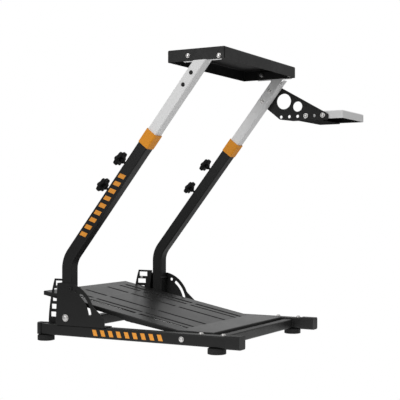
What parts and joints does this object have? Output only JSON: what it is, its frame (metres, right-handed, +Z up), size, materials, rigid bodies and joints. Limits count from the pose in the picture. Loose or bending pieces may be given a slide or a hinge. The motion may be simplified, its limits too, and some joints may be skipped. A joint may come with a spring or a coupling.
{
  "type": "racing wheel stand",
  "caption": "Folding floor stand with bent square uprights, telescoping inner tubes, tilting wheel deck, side shifter tray and sloped pedal plate.",
  "frame": {"origin": "on the floor under the middle of the stand's bounding box", "axes": "+Z up, +Y ahead of the seated driver, +X to the driver's right"},
  "size_m": [0.8084, 0.844, 0.912],
  "materials": {
    "black_paint": "matt black powder coat",
    "silver_paint": "satin silver white powder coat",
    "orange_plastic": "moulded, satin",
    "black_plastic": "moulded, fine grain",
    "rubber": "matt rubber",
    "zinc_steel": "zinc plated"
  },
  "bodies": {
    "base": {"left_rail": "black_paint", "right_rail": "black_paint", "left_front_plug": "black_plastic", "right_front_plug": "black_plastic", "left_rear_cap": "black_plastic", "right_rear_cap": "black_plastic", "front_cross_tube": "black_paint", "rear_cross_tube": "black_paint", "left_front_foot": "rubber", "right_front_foot": "rubber", "left_rear_foot": "rubber", "right_rear_foot": "rubber", "left_bracket": "black_paint", "right_bracket": "black_paint", "left_pivot_bolt": "zinc_steel", "right_pivot_bolt": "zinc_steel", "left_pedal_bolt": "zinc_steel", "right_pedal_bolt": "zinc_steel"},
    "pedals": {"pedal_plate": "black_paint"},
    "uprights": {"left_upright": "black_paint", "right_upright": "black_paint", "left_collar": "orange_plastic", "right_collar": "orange_plastic"},
    "height_frame": {"left_inner_tube": "silver_paint", "right_inner_tube": "silver_paint", "left_deck_arm": "silver_paint", "right_deck_arm": "silver_paint", "left_deck_pivot_bolt": "zinc_steel", "right_deck_pivot_bolt": "zinc_steel", "left_deck_lock_bolt": "zinc_steel", "right_deck_lock_bolt": "zinc_steel", "shifter_bracket": "black_paint", "shifter_tray": "silver_paint"},
    "deck": {"wheel_deck": "black_paint"},
    "left_lower_knob": {"left_lower_knob": "black_plastic"},
    "right_lower_knob": {"right_lower_knob": "black_plastic"},
    "left_upper_knob": {"left_upper_knob": "black_plastic"},
    "right_upper_knob": {"right_upper_knob": "black_plastic"}
  },
  "joints": [
    {"name": "upright_fold", "type": "hinge", "parent": "base", "child": "uprights", "pos_m": [-0.09725, 0.29098, 0.079], "axis": [1, 0, 0], "range_deg": [0, 45]},
    {"name": "height_slide", "type": "slide", "parent": "uprights", "child": "height_frame", "axis": [0, -0.6266, 0.7793], "range_m": [-0.13, 0.04]},
    {"name": "deck_tilt", "type": "hinge", "parent": "height_frame", "child": "deck", "pos_m": [-0.09725, -0.13886, 0.891], "axis": [1, 0, 0], "range_deg": [0, 6.5]},
    {"name": "pedal_tilt", "type": "hinge", "parent": "base", "child": "pedals", "pos_m": [-0.09725, -0.13502, 0.038], "axis": [1, 0, 0], "range_deg": [-7.5, 2.5]},
    {"name": "left_lower_knob_turn", "type": "hinge", "parent": "uprights", "child": "left_lower_knob", "pos_m": [-0.37225, 0.12305, 0.47286], "axis": [0, 0.7793, 0.6266], "continuous": true},
    {"name": "right_lower_knob_turn", "type": "hinge", "parent": "uprights", "child": "right_lower_knob", "pos_m": [0.17775, 0.12305, 0.47286], "axis": [0, 0.7793, 0.6266], "continuous": true},
    {"name": "left_upper_knob_turn", "type": "hinge", "parent": "uprights", "child": "left_upper_knob", "pos_m": [-0.37225, 0.05789, 0.55391], "axis": [0, 0.7793, 0.6266], "continuous": true},
    {"name": "right_upper_knob_turn", "type": "hinge", "parent": "uprights", "child": "right_upper_knob", "pos_m": [0.17775, 0.05789, 0.55391], "axis": [0, 0.7793, 0.6266], "continuous": true}
  ]
}
